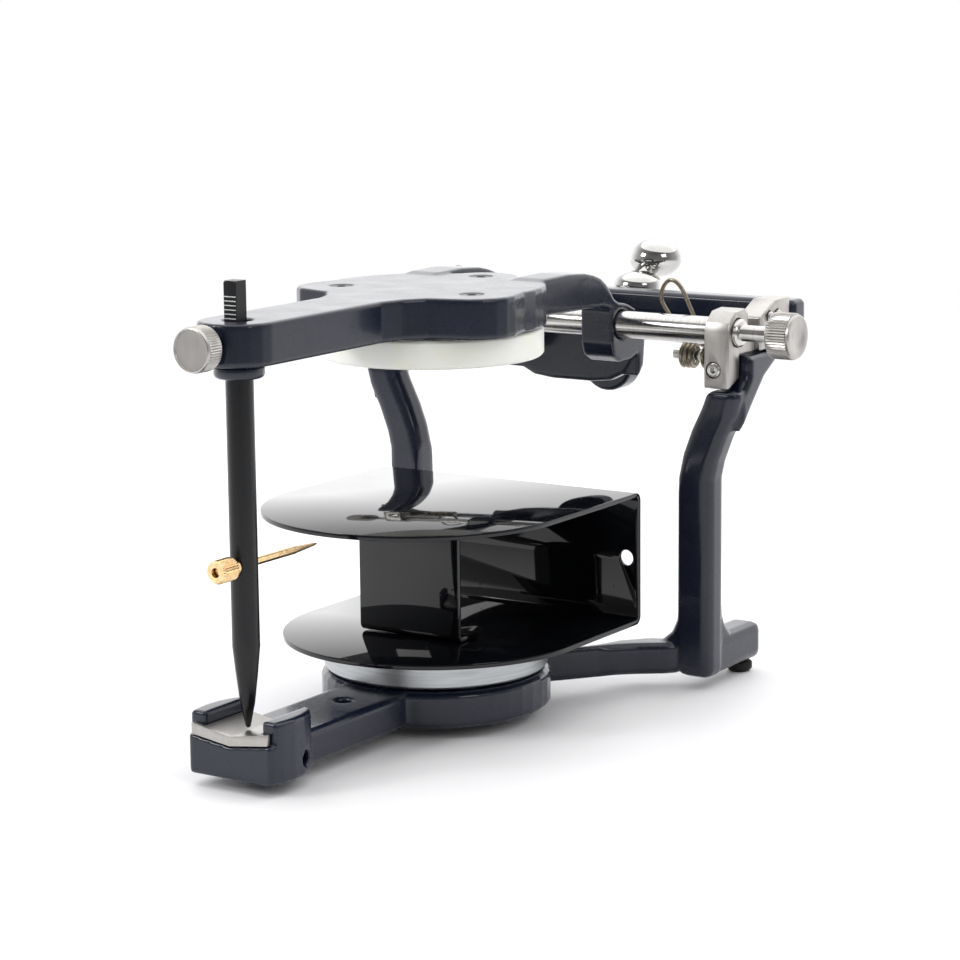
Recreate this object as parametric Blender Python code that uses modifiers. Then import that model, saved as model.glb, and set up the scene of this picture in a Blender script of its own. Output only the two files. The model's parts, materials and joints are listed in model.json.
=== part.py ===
"""Dental articulator with magnetic mounting plates and an occlusal plane table.

Metres, +Z up. +X is the right of the articulator seen from its front, +Y points to the hinge end.
The frames are mirror symmetric about X = 0 and the rubber feet stand on Z = 0.
"""

import math

import bmesh
import bpy
from mathutils import Matrix, Vector

MM = 0.001
GAP = 0.3 * MM  # between two pieces that touch on the real object

# Stations along Y, worked out from the incisal pin
PIN_Y = -90.3 * MM
DISC_Y = PIN_Y + 78.0 * MM
WEB_Y = PIN_Y + 113.5 * MM
AXLE_Y = PIN_Y + 135.6 * MM
BAR_Y = PIN_Y + 166.0 * MM

# Heights
BASE_Z = 3.0 * MM  # underside of the lower casting
UPPER_BOTTOM_Z = 99.4 * MM
UPPER_TOP_Z = 109.4 * MM
AXLE_Z = 94.3 * MM
PIN_TOP_Z = 118.5 * MM
PIN_TIP_Z = 13.9 * MM
TABLE_LOW_Z = 20.3 * MM
TABLE_HIGH_Z = 53.5 * MM

# Mounting plates
PLATE_R = 28.0 * MM
PLATE_T = 7.2 * MM
PAD_R = 29.2 * MM
MAGNET_R = 9.0 * MM
SCREW_CIRCLE_R = 22.5 * MM

# Castings
ARM_W = 19.0 * MM
POST_X = 45.8 * MM
POST_W = 9.8 * MM
POST_FRONT_Y = PIN_Y + 129.8 * MM
POST_DEPTH = 8.6 * MM
POST_LEAN = 8.2 * MM
HUB_X = 16.2 * MM  # centre of each hinge hub
HUB_W = 9.6 * MM

FRONT_BLOCK_TOP_Z = 17.7 * MM

# Rubber feet: X, Y from the pin and button radius in millimetres
FOOT_SPOTS = {"rear_foot_right": (46.2, 155.0, 3.4), "rear_foot_left": (-46.2, 155.0, 3.4),
              "front_foot": (0, 5.6, 4.0)}
FOOT_STEM_R = 2.1 * MM

# Hinge
AXLE_R = 3.6 * MM
AXLE_HALF = 57.0 * MM
STUB_R = 2.1 * MM
KNOB_FACE_X = 72.8 * MM
BLOCK_X = 52.0 * MM
BLOCK_W = 7.2 * MM
BAR_HALF = 57.8 * MM
BAR_TOP_Z = 99.8 * MM
BAR_H = 6.6 * MM
BAR_D = 7.0 * MM
COLLAR_R = 6.9 * MM
BALL_R = 7.6 * MM
BALL_HALF_H = 5.7 * MM
LOCK_TILT = math.radians(24.5)  # centric lock screw, above the horizontal

# Occlusal plane table
TABLE_HALF = 39.3 * MM
SHEET_T = 1.3 * MM
PANEL_W = 30.0 * MM
PANEL_Y = PIN_Y + 66.0 * MM

# Incisal pin
PIN_R = 3.25 * MM
NEEDLE_Z = 52.6 * MM
THUMB_Z = 104.4 * MM

ENAMEL = ("navy_enamel", (0.017, 0.021, 0.030), 0.28, 0.0)
NICKEL = ("satin_nickel", (0.56, 0.55, 0.52), 0.34, 1.0)
STEEL = ("polished_steel", (0.62, 0.60, 0.57), 0.18, 1.0)
CHROME = ("chrome_plate", (0.68, 0.68, 0.67), 0.08, 1.0)
BLACK_STEEL = ("blacked_steel", (0.012, 0.012, 0.013), 0.36, 0.2)
GLOSS_BLACK = ("gloss_black_lacquer", (0.006, 0.006, 0.008), 0.06, 0.0)
IVORY = ("ivory_plastic", (0.78, 0.79, 0.68), 0.45, 0.0)
ALUMINIUM = ("turned_aluminium", (0.60, 0.61, 0.60), 0.36, 1.0)
BRASS = ("brass", (0.72, 0.48, 0.22), 0.28, 1.0)
RUBBER = ("black_rubber", (0.015, 0.015, 0.016), 0.75, 0.0)
SPRING_WIRE = ("spring_wire", (0.42, 0.36, 0.27), 0.30, 1.0)

for leftover in list(bpy.data.objects):
    bpy.data.objects.remove(leftover, do_unlink=True)

articulator = bpy.data.collections.new("dental_articulator")
cutters = bpy.data.collections.new("cutters")
bpy.context.scene.collection.children.link(articulator)
bpy.context.scene.collection.children.link(cutters)
cutters.hide_render = True


def material(finish):
    name, colour, roughness, metallic = finish
    found = bpy.data.materials.get(name)
    if found:
        return found
    made = bpy.data.materials.new(name)
    made.use_nodes = True
    shader = made.node_tree.nodes["Principled BSDF"]
    shader.inputs["Base Color"].default_value = (*colour, 1.0)
    shader.inputs["Roughness"].default_value = roughness
    shader.inputs["Metallic"].default_value = metallic
    made.diffuse_color = (*colour, 1.0)
    return made


def place(name, mesh, finish=None, location=(0, 0, 0), smooth=False):
    """A new object: a part where it has a finish, and a helper solid where it has none."""
    made = bpy.data.objects.new(name, mesh)
    made.location = location
    if finish:
        articulator.objects.link(made)
        mesh.materials.append(material(finish))
    else:
        cutters.objects.link(made)
        made.hide_render = True
        made.display_type = "WIRE"
    if smooth:
        mesh.shade_smooth()
        mesh.set_sharp_from_angle(angle=math.radians(35))
    return made


def mesh_of(name, shape):
    mesh = bpy.data.meshes.new(name)
    bmesh.ops.recalc_face_normals(shape, faces=shape.faces)
    shape.to_mesh(mesh)
    shape.free()
    return mesh


def box(name, low, high, finish=None, bevel=0.0, segments=1):
    """A box between two corners, its origin at its centre."""
    low, high = Vector(low), Vector(high)
    shape = bmesh.new()
    bmesh.ops.create_cube(shape, size=1.0, matrix=Matrix.Diagonal((*(high - low), 1.0)))
    made = place(name, mesh_of(name, shape), finish, (low + high) / 2)
    if bevel:
        add_bevel(made, bevel, segments)
    return made


def add_bevel(made, width, segments=1, angle=40):
    bevel = made.modifiers.new("edges", "BEVEL")
    bevel.width = width
    bevel.segments = segments
    bevel.limit_method = "ANGLE"
    bevel.angle_limit = math.radians(angle)
    return bevel


def turn_to(made, axis):
    """Turns a piece made along +Z so that it runs along the axis."""
    made.rotation_mode = "QUATERNION"
    made.rotation_quaternion = Vector((0, 0, 1)).rotation_difference(Vector(axis))


def cylinder(name, radius, length, centre, axis=(0, 0, 1), finish=None, sides=24,
             end_radius=None, bevel=0.0):
    shape = bmesh.new()
    last = radius if end_radius is None else end_radius
    bmesh.ops.create_cone(shape, cap_ends=True, segments=sides, radius1=radius, radius2=last, depth=length)
    made = place(name, mesh_of(name, shape), finish, centre, smooth=True)
    turn_to(made, axis)
    if bevel:
        add_bevel(made, bevel, 1, 50)
    return made


def turned(name, profile, centre, axis=(0, 0, 1), finish=None, sides=24):
    """A solid of revolution. The profile is (radius, height), from its top to its bottom, axis to axis."""
    mesh = bpy.data.meshes.new(name)
    points = [(radius, 0, height) for radius, height in profile]
    mesh.from_pydata(points, [(i, i + 1) for i in range(len(points) - 1)], [])
    made = place(name, mesh, finish, centre)
    screw = made.modifiers.new("turn", "SCREW")
    screw.steps = screw.render_steps = sides
    screw.use_merge_vertices = True
    screw.merge_threshold = 0.00001
    screw.use_smooth_shade = True
    turn_to(made, axis)
    return made


def outline_solid(name, outline, thickness, centre, facing="Z", finish=None, bevel=0.0, segments=1):
    """A flat outline given as (across, up), extruded by a thickness centred on its plane.

    Facing Z, the outline is (x, y); facing X it is (y, z); facing Y it is (x, z).
    """
    curve = bpy.data.curves.new(name + "_outline", "CURVE")
    curve.dimensions = "2D"
    curve.fill_mode = "BOTH"
    curve.extrude = thickness / 2
    spline = curve.splines.new("POLY")
    spline.points.add(len(outline) - 1)
    for point, (across, up) in zip(spline.points, outline):
        point.co = (across, up, 0, 1)
    spline.use_cyclic_u = True
    guide = bpy.data.objects.new(name + "_outline", curve)
    cutters.objects.link(guide)
    graph = bpy.context.evaluated_depsgraph_get()
    mesh = bpy.data.meshes.new_from_object(guide.evaluated_get(graph))
    bpy.data.objects.remove(guide, do_unlink=True)
    shape = bmesh.new()
    shape.from_mesh(mesh)
    bmesh.ops.remove_doubles(shape, verts=shape.verts, dist=0.000001)
    bmesh.ops.recalc_face_normals(shape, faces=shape.faces)
    turns = {
        "Z": Matrix.Identity(4),
        "X": Matrix(((0, 0, 1, 0), (1, 0, 0, 0), (0, 1, 0, 0), (0, 0, 0, 1))),
        "Y": Matrix(((1, 0, 0, 0), (0, 0, -1, 0), (0, 1, 0, 0), (0, 0, 0, 1))),
    }
    bmesh.ops.transform(shape, matrix=turns[facing], verts=shape.verts)
    shape.to_mesh(mesh)
    shape.free()
    mesh.name = name
    mesh.materials.clear()
    made = place(name, mesh, finish, centre)
    if bevel:
        add_bevel(made, bevel, segments)
    return made


def boolean(base, other, operation, solver="EXACT"):
    step = base.modifiers.new(other.name, "BOOLEAN")
    step.operation = operation
    step.solver = solver
    step.object = other


def join(base, *others, solver="EXACT"):
    for other in others:
        boolean(base, other, "UNION", solver)


def cut(base, *others):
    for other in others:
        boolean(base, other, "DIFFERENCE")


def arc(centre, radius, start, end, steps):
    """Points on an arc from one angle to another, in degrees, both ends included."""
    angles = [math.radians(start + (end - start) * i / steps) for i in range(steps + 1)]
    return [(centre[0] + radius * math.cos(a), centre[1] + radius * math.sin(a)) for a in angles]


def mirrored(outline):
    return [(-across, up) for across, up in reversed(outline)]


def at(x, y, z):
    """A point in millimetres, with Y counted from the incisal pin."""
    return Vector((x * MM, PIN_Y + y * MM, z * MM))


# --- Lower member ---


def leg_outline(side):
    """One leg of the wishbone from the round pad to a post, seen from above."""
    outer = [(12, 88), (17.5, 106), (25.5, 116.5), (33, 123.5), (40, 128.5), (41.5, 130.2)]
    inner = [(41.5, 137.4), (36, 134.6), (30, 131), (25.8, 126), (23.2, 119), (14, 104), (4, 98)]
    outline = [(side * x * MM, PIN_Y + y * MM) for x, y in outer + inner]
    return outline if side > 0 else list(reversed(outline))


def post_outline(side):
    """A post seen from the front: straight, then leaning outwards to its top."""
    half = POST_W / 2
    lean = [(0.0, 58.0), (0.12, 62.5), (0.42, 69.0), (0.78, 75.0), (1.0, 79.7)]
    inner = [(POST_X - half + part * POST_LEAN, z * MM) for part, z in lean]
    outer = [(POST_X + half + part * POST_LEAN, (z - 2.0) * MM) for part, z in lean[:-1]]
    outer.append((POST_X + half + POST_LEAN, 79.7 * MM))
    outline = [(POST_X + half, BASE_Z)] + outer + inner[::-1] + [(POST_X - half, BASE_Z)]
    return outline if side > 0 else mirrored(outline)


def block_outline():
    """The front block from above: flat in front, its side walls bowed, drawn in towards the arm."""
    right = [(12, -7.4), (12.9, -3.6), (13.3, 0.4), (13.0, 4.4), (12.1, 7.6), (10.9, 9.8), (9.2, 11.2)]
    half = [(x * MM, PIN_Y + y * MM) for x, y in right]
    return half + mirrored(half)


def lower_frame():
    frame = outline_solid("lower_frame", block_outline(), FRONT_BLOCK_TOP_Z - BASE_Z,
                          (0, 0, (FRONT_BLOCK_TOP_Z + BASE_Z) / 2), "Z", ENAMEL, bevel=0.6 * MM)
    arm = box("lower_arm", at(-9.9, 8, 3.3), at(9.9, 56, 11.9), bevel=1.0 * MM)
    cut(arm, cylinder("arm_hole", 2.2 * MM, 12 * MM, at(0, 37.6, 12), sides=16))
    pad = turned("lower_pad", [(0, 9.4 * MM), (28.0 * MM, 9.4 * MM), (PAD_R, 8.2 * MM), (PAD_R, 1.0 * MM),
                               (28.2 * MM, 0), (0, 0)], at(0, 78, 2.8), sides=40)
    join(frame, arm, pad)
    cut(frame, box("table_channel", at(-8.3, -6.4, 10.7), at(8.3, 11.6, 19)))
    lip_seat = [(x * MM, z * MM) for x, z in
                ((0, 10.8), (11.2, 12.3), (15, 12.4), (15, 19), (-15, 19), (-15, 12.4), (-11.2, 12.3))]
    cut(frame, outline_solid("lip_seat", lip_seat, 3.4 * MM, at(0, -7.3, 0), "Y"))
    for name, side in (("right", 1), ("left", -1)):
        leg = outline_solid("leg_" + name, leg_outline(side), 8.5 * MM, (0, 0, 7.85 * MM), bevel=1.2 * MM)
        post = outline_solid("post_" + name, post_outline(side), POST_DEPTH,
                             (0, POST_FRONT_Y + POST_DEPTH / 2, 0), "Y", bevel=2.3 * MM, segments=2)
        foot_x = POST_X * side
        foot = box("foot_" + name, (foot_x - 4.6 * MM, PIN_Y + 133 * MM, 3.15 * MM),
                   (foot_x + 4.6 * MM, PIN_Y + 160.0 * MM, 13.2 * MM), bevel=2.2 * MM, segments=2)
        heel = outline_solid("heel_" + name, [
            (PIN_Y + y * MM, z * MM) for y, z in
            ((135, 12), (147, 12), (143.5, 13.6), (140.8, 16.4), (139.2, 20), (138.2, 25), (135, 25))
        ], 8.2 * MM, (foot_x, 0, 0), "X", bevel=1.2 * MM)
        instep = [(side * x * MM, z * MM) for x, z in
                  ((34, 10.4), (44, 10.4), (44, 23), (41.1, 23), (40.4, 18), (39, 14.8), (36.8, 12.9))]
        web = outline_solid("instep_" + name, instep if side > 0 else list(reversed(instep)), 5.6 * MM,
                            at(0, 132.8, 0), "Y", bevel=1.0 * MM)
        arm_x = (POST_X + POST_LEAN) * side
        rear_arm = outline_solid("rear_arm_" + name, [
            (PIN_Y + y * MM, z * MM) for y, z in
            ((133, 68), (139, 74.5), (146, 81.5), (154.5, 86.2), (162, 88.6), (169.3, 90.2),
             (169.3, 92.7), (153.4, 92.5), (153.4, 88.0), (137.3, 88.0), (137.3, 82.6), (133, 78))
        ], 8.6 * MM, (arm_x, 0, 0), "X", bevel=1.2 * MM)
        join(frame, leg, post, foot, rear_arm, heel, web)
    for name, (x, y, _) in FOOT_SPOTS.items():
        cut(frame, cylinder(name + "_socket", FOOT_STEM_R + GAP, 3.0 * MM, at(x, y, 4.4), sides=16))
    cut(frame, cylinder("table_screw_hole", 1.9 * MM, 8 * MM, at(12, 5.4, 7.0), (1, 0, 0), sides=12))


def rubber_feet():
    """Each foot is a turned button whose stem fills a blind hole in the casting."""
    for name, (x, y, radius) in FOOT_SPOTS.items():
        button = radius * MM
        turned(name, [(0, 5.3 * MM), (FOOT_STEM_R, 5.3 * MM), (FOOT_STEM_R, 2.7 * MM), (button, 2.7 * MM),
                      (button, 0.8 * MM), (button - 0.7 * MM, 0), (0, 0)],
               at(x, y, 0), finish=RUBBER, sides=24)


def incisal_table():
    """A bent plate: its valley runs front to back under the pin, and its front lip is full width."""
    valley, edge, thick = 13.4, 14.7, 2.3
    body = [(x * MM, z * MM) for x, z in
            ((0, valley), (-7.9, edge), (-7.9, edge - thick), (0, valley - thick),
             (7.9, edge - thick), (7.9, edge))]
    lip = [(x * MM, z * MM) for x, z in
           ((0, valley), (-11, edge + 0.5), (-11, edge - thick + 0.2), (0, valley - thick),
            (11, edge - thick + 0.2), (11, edge + 0.5))]
    table = outline_solid("incisal_guide_table", body, 16.4 * MM, at(0, 1.9, 0), "Y", NICKEL)
    front = outline_solid("incisal_lip", lip, 1.3 * MM, at(0, -6.65, 0), "Y")
    join(table, front)
    turned("guide_table_set_screw",
           [(0, 1.8 * MM), (1.55 * MM, 1.8 * MM), (1.55 * MM, -0.6 * MM), (0, -0.6 * MM)],
           at(9.2, 5.4, 7.0), (1, 0, 0), BLACK_STEEL, 16)


def lower_plate():
    turned("lower_mounting_plate", [
        (MAGNET_R + GAP, PLATE_T), (27.6 * MM, PLATE_T), (28.4 * MM, PLATE_T - 0.8 * MM),
        (28.4 * MM, 0.8 * MM), (27.8 * MM, 0), (MAGNET_R + GAP, 0), (MAGNET_R + GAP, PLATE_T)
    ], at(0, 78, 12.6), finish=ALUMINIUM, sides=40)
    cylinder("lower_magnet", MAGNET_R, PLATE_T - 0.2 * MM, at(0, 78, 12.6 + 3.5), finish=STEEL, sides=32)


def dee(half, centre_y, back_y, steps=24):
    """A plate outline with a half-round front and a straight back edge."""
    return [(-half, back_y)] + arc((0, centre_y), half, 180, 360, steps) + [(half, back_y)]


def occlusal_table():
    """One bent sheet: a long upper plate, the rear web and a shorter lower plate."""
    high = outline_solid("occlusal_table", dee(TABLE_HALF, PIN_Y + 70.6 * MM, WEB_Y + SHEET_T / 2, 32),
                         SHEET_T, (0, 0, TABLE_HIGH_Z + SHEET_T / 2), "Z", GLOSS_BLACK)
    low = outline_solid("lower_table_plate", dee(TABLE_HALF, PIN_Y + 78.7 * MM, WEB_Y + SHEET_T / 2, 32),
                        SHEET_T, (0, 0, TABLE_LOW_Z + SHEET_T / 2))
    web = box("table_web", (-TABLE_HALF, WEB_Y - SHEET_T / 2, TABLE_LOW_Z),
              (TABLE_HALF, WEB_Y + SHEET_T / 2, TABLE_HIGH_Z + SHEET_T))
    for side in (1, -1):
        cut(web, cylinder("web_hole_%d" % side, 2.0 * MM, 10 * MM,
                          (side * 35.6 * MM, WEB_Y, 37.4 * MM), (0, 1, 0), sides=20))
    join(high, low, web)


def table_support():
    """The middle wall between the two plates, with a flange under the upper one and on the lower one."""
    low = TABLE_LOW_Z + SHEET_T + GAP
    high = TABLE_HIGH_Z - GAP
    back = PANEL_Y + 9 * MM
    flange = [(PANEL_Y, low), (back, low), (back, low + SHEET_T), (PANEL_Y + SHEET_T, low + SHEET_T),
              (PANEL_Y + SHEET_T, high - SHEET_T), (back, high - SHEET_T), (back, high), (PANEL_Y, high)]
    outline_solid("occlusal_table_support", flange, PANEL_W, (0, 0, 0), "X", GLOSS_BLACK)


# --- Hinge end ---


def condylar_block(name, side):
    outline = [(130.4, 80.0), (136.6, 82.4), (136.6, 88.4), (144.9, 88.4), (144.9, 91.6), (141.0, 93.0),
               (141.0, 96.6), (141.2, 98.6), (139.6, 100.2), (134.2, 99.7), (131.2, 97.2), (130.4, 95.0)]
    block = outline_solid(name, [(PIN_Y + y * MM, z * MM) for y, z in outline], BLOCK_W,
                          (side * BLOCK_X, 0, 0), "X", NICKEL, bevel=0.35 * MM)
    bore = cylinder(name + "_bore", AXLE_R + GAP, 20 * MM, (side * BLOCK_X, AXLE_Y, AXLE_Z), (1, 0, 0))
    hole = cylinder(name + "_screw_hole", 2.2 * MM, 3.0 * MM, at(side * 51.2, 130.6, 84.9),
                    (0, 1, 0), sides=16)
    cut(block, bore, hole)
    return block


def clamp_screw(name, centre, axis, radius, length, finish=STEEL):
    """A cheese-head screw with a driving slot; the head looks along the axis."""
    profile = [(0, length), (radius * 0.82, length), (radius, length * 0.78), (radius, 0), (0, 0)]
    screw = turned(name, profile, centre, axis, finish, 12)
    slot = box(name + "_slot", (-radius * 1.5, -radius * 0.14, length * 0.62),
               (radius * 1.5, radius * 0.14, length * 2))
    slot.location = Vector(centre) + Vector(axis) * length * 1.31
    turn_to(slot, axis)
    cut(screw, slot)
    return screw


def rear_bracket(name, side):
    """Carries the end of the rear bar on the arm behind the post."""
    outline = [(145.3, 88.4), (151.6, 88.4), (153.0, 89.8), (153.0, 93.0), (161.9, 93.0),
               (161.9, 101.0), (153.4, 101.0), (145.3, 97.2)]
    bracket = outline_solid(name, [(PIN_Y + y * MM, z * MM) for y, z in outline], 6.6 * MM,
                            (side * 53.6 * MM, 0, 0), "X", NICKEL, bevel=0.35 * MM)
    for number, y in enumerate((150.3, 154.6), 1):
        screw_name = "%s_screw_%d" % (name, number)
        cut(bracket, cylinder(screw_name + "_seat", 1.6 * MM, 1.4 * MM, at(side * 56.9, y, 97.0),
                              (1, 0, 0), sides=16))
        clamp_screw(screw_name, at(side * 56.5, y, 97.0), (side, 0, 0), 1.3 * MM, 1.2 * MM)


def rear_bar():
    """The bar behind the hinge; a tongue in its middle carries the centric lock."""
    low, high = BAR_TOP_Z - BAR_H, BAR_TOP_Z
    bar = box("rear_bar", (-BAR_HALF, BAR_Y - BAR_D / 2, low), (BAR_HALF, BAR_Y + BAR_D / 2, high),
              ENAMEL, 1.0 * MM)
    tongue = outline_solid("bar_tongue", [(x * MM, z * MM) for x, z in
                                          [(-8, 98)] + arc((0, 79.5), 8, 180, 360, 12) + [(8, 98)]],
                           6.0 * MM, (0, BAR_Y, 0), "Y")
    join(bar, tongue)
    axis = lock_axis()
    middle = lock_point(13.0 * MM)
    cut(bar, cylinder("lock_hole", 2.3 * MM, 40 * MM, middle, axis, sides=20))


def lock_axis():
    return Vector((0, math.cos(LOCK_TILT), math.sin(LOCK_TILT)))


def lock_point(distance):
    """A point on the lock screw's axis, counted from its tip behind the skirt."""
    return at(0, 149.9, 87.2) + lock_axis() * distance


def centric_lock():
    """An inclined shank that carries an upright domed collar and a flattened upright ball."""
    reach = 43.0 * MM
    neck_start = 31.5 * MM
    screw = turned("centric_lock_screw", [
        (0, reach), (2.3 * MM, reach), (2.3 * MM, neck_start), (2.0 * MM, neck_start), (2.0 * MM, 1.2 * MM),
        (1.0 * MM, 0), (0, 0)
    ], lock_point(0), lock_axis(), CHROME, 20)
    dome = [(COLLAR_R * math.cos(a), 1.8 * MM + 3.6 * MM * math.sin(a))
            for a in map(math.radians, range(72, -1, -18))]
    collar = turned("lock_collar", [(0, 5.4 * MM)] + dome + [(COLLAR_R, 0), (0, 0)],
                    at(0, 179.8, 97.8), sides=24)
    oblate = [(BALL_R * math.cos(a), BALL_HALF_H * math.sin(a))
              for a in map(math.radians, range(72, -90, -18))]
    ball = turned("lock_ball", [(0, BALL_HALF_H)] + oblate + [(0, -BALL_HALF_H)],
                  at(0, 190.3, 105.8), sides=24)
    join(screw, collar, ball)


def spring(name, side):
    """A double torsion spring: two coils below the axle, and a loop that reaches up behind and over it."""
    wire = 0.55 * MM
    coil_r, pitch, turns, per_turn = 3.1 * MM, 1.35 * MM, 3, 10
    centre_y, centre_z = 143.2, 86.6
    points = []
    for i in range(turns * per_turn + 1):
        angle = math.radians(60) + 2 * math.pi * i / per_turn
        x = 39.4 * MM - pitch * i / per_turn
        points.append(Vector((x, PIN_Y + centre_y * MM + coil_r * math.cos(angle),
                              centre_z * MM + coil_r * math.sin(angle))))
    loop = [(34.3, 143.6, 91.5), (31.6, 142.6, 96.5), (29.6, 141.8, 100.4), (30.2, 141.0, 103.8),
            (32.2, 140.4, 106.2), (34.6, 140.3, 106.2), (36.6, 140.6, 103.8), (38.2, 141.2, 99.6),
            (39.8, 142.2, 95.2), (41.0, 143.6, 91.5)]
    points += [at(x, y, z) for x, y, z in loop]
    for i in range(2 * per_turn + 1):
        angle = math.radians(110) - 2 * math.pi * i / per_turn
        x = 41.6 * MM + pitch * i / per_turn
        points.append(Vector((x, PIN_Y + centre_y * MM + coil_r * math.cos(angle),
                              centre_z * MM + coil_r * math.sin(angle))))
    curve = bpy.data.curves.new(name, "CURVE")
    curve.dimensions = "3D"
    curve.bevel_depth = wire
    curve.bevel_resolution = 1
    curve.use_fill_caps = True
    spline = curve.splines.new("POLY")
    spline.points.add(len(points) - 1)
    for point, place_at in zip(spline.points, points):
        point.co = (side * place_at.x, place_at.y, place_at.z, 1)
    made = bpy.data.objects.new(name, curve)
    curve.materials.append(material(SPRING_WIRE))
    articulator.objects.link(made)


def spring_pin(name, side):
    """The pin that the coils sit on, standing out of the condylar block."""
    cylinder(name, 1.5 * MM, 15.0 * MM, at(side * 40.5, 143.2, 86.6), (1, 0, 0), STEEL, 16)


# --- Upper member ---


def frame_outline():
    """The round centre plate with the lobes of the three plate screws, and the straight front arm."""
    outline = arc((0, PIN_Y), ARM_W / 2, 180, 360, 10)
    half = [at(x, y, 0).xy for x, y in ((9.5, 43), (11.3, 49), (15, 54))]
    half += arc(at(19.4, 66.8, 0).xy, 11.4 * MM, -60, 10, 4)
    half += arc((0, DISC_Y), 28.8 * MM, -4, 56, 6)
    half += arc(at(0, 100.5, 0).xy, 9.6 * MM, 20, 80, 3)
    return outline + [tuple(point) for point in half] + mirrored([tuple(point) for point in half])


def upper_frame():
    frame = outline_solid("upper_frame", frame_outline(), UPPER_TOP_Z - UPPER_BOTTOM_Z,
                          (0, 0, (UPPER_TOP_Z + UPPER_BOTTOM_Z) / 2), "Z", ENAMEL, bevel=1.3 * MM)
    for name, side in (("right", 1), ("left", -1)):
        hood = outline_solid("hood_" + name, [
            (PIN_Y + y * MM, z * MM) for y, z in
            ((94, 100.6), (94, 109.2), (99, 109.9), (110, 110.0), (118, 109.4), (122, 108.6),
             (125.6, 107.4), (128.4, 105.6), (130.6, 103.4), (132.2, 101.4), (134.6, 100.2), (139, 99.4),
             (143.2, 97.6), (146.4, 94.4), (148.2, 89.0), (147.4, 82.0), (144.6, 79.0), (144.6, 85.6),
             (141, 84.4), (135, 84.4), (131.8, 86.2), (130.6, 89.6), (130.6, 98.8), (126, 99.9))
        ], HUB_W, (side * HUB_X, 0, 0), "X", bevel=0.6 * MM)
        join(frame, hood, solver="MANIFOLD")
        cut(frame, cylinder("hub_bore_" + name, AXLE_R + GAP, 30 * MM,
                            (side * HUB_X, AXLE_Y, AXLE_Z), (1, 0, 0)))
    skirt = outline_solid("skirt", [(x * MM, z * MM) for x, z in
                                    [(20.4, 92.5), (20.4, 86)]
                                    + [(16.5, 79.8), (12, 77.6), (6, 76.9)]
                                    + [(-6, 76.9), (-12, 77.6), (-16.5, 79.8)]
                                    + [(-20.4, 86), (-20.4, 92.5)]][::-1],
                          3.6 * MM, at(0, 146.2, 0), "Y", bevel=0.8 * MM)
    join(frame, skirt, solver="MANIFOLD")
    cut(frame, cylinder("pin_bore", PIN_R + GAP, 40 * MM, at(0, 0, 104)))
    cut(frame, cylinder("thumb_hole", 1.9 * MM, 10 * MM, at(0, -8.4, THUMB_Z / MM), (0, 1, 0), sides=16))
    for number, (x, y) in enumerate(screw_spots(), 1):
        hole = turned("plate_screw_hole_%d" % number, [
            (0, 6 * MM), (3.4 * MM, 6 * MM), (3.4 * MM, 0.3 * MM), (1.9 * MM, -1.6 * MM),
            (1.9 * MM, -16 * MM), (0, -16 * MM)
        ], (x, y, UPPER_TOP_Z), sides=20)
        cut(frame, hole)


def screw_spots():
    return [(SCREW_CIRCLE_R * math.cos(math.radians(a)), DISC_Y + SCREW_CIRCLE_R * math.sin(math.radians(a)))
            for a in (90, 210, 330)]


def plate_screws():
    for number, (x, y) in enumerate(screw_spots(), 1):
        screw = turned("plate_screw_%d" % number, [
            (0, -0.2 * MM), (2.9 * MM, -0.2 * MM), (1.6 * MM, -1.9 * MM), (1.6 * MM, -9.8 * MM),
            (0, -9.8 * MM)
        ], (x, y, UPPER_TOP_Z), finish=BLACK_STEEL, sides=18)
        recess = cylinder("plate_screw_recess_%d" % number, 1.3 * MM, 1.6 * MM,
                          (x, y, UPPER_TOP_Z - 0.4 * MM), sides=6)
        cut(screw, recess)


def upper_plate():
    top = UPPER_BOTTOM_Z - GAP
    turned("upper_mounting_plate", [
        (MAGNET_R + GAP, 0), (PLATE_R - 0.6 * MM, 0), (PLATE_R, -0.6 * MM), (PLATE_R, 0.8 * MM - PLATE_T),
        (PLATE_R - 0.8 * MM, -PLATE_T), (MAGNET_R + GAP, -PLATE_T), (MAGNET_R + GAP, 0)
    ], (0, DISC_Y, top), finish=IVORY, sides=40)
    cylinder("upper_magnet", MAGNET_R, PLATE_T - 0.2 * MM, (0, DISC_Y, top - PLATE_T / 2),
             finish=STEEL, sides=32)


def pin_collar():
    collar = cylinder("pin_collar", 5.9 * MM, 3.0 * MM, (0, PIN_Y, UPPER_BOTTOM_Z - GAP - 1.5 * MM),
                      finish=ENAMEL, bevel=0.5 * MM)
    cut(collar, cylinder("collar_bore", PIN_R + GAP, 10 * MM, (0, PIN_Y, UPPER_BOTTOM_Z - 1.5 * MM)))


def incisal_pin():
    """A round pin with a flat near its top for the scale, and a conical tip."""
    length = PIN_TOP_Z - PIN_TIP_Z
    pin = turned("incisal_pin", [
        (0, length), (PIN_R - 0.4 * MM, length), (PIN_R, length - 0.4 * MM), (PIN_R, 19.5 * MM),
        (2.6 * MM, 13.0 * MM), (1.75 * MM, 6.0 * MM), (0.6 * MM, 0.35 * MM), (0.3 * MM, 0), (0, 0)
    ], (0, PIN_Y, PIN_TIP_Z), finish=BLACK_STEEL, sides=24)
    flat = box("scale_flat", at(-5, -6, 107), at(5, -2.75, 125))
    needle_hole = cylinder("needle_hole", 1.3 * MM, 20 * MM, at(0, 0, NEEDLE_Z / MM), (0, 1, 0), sides=16)
    cut(pin, flat, needle_hole)
    return pin


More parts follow.
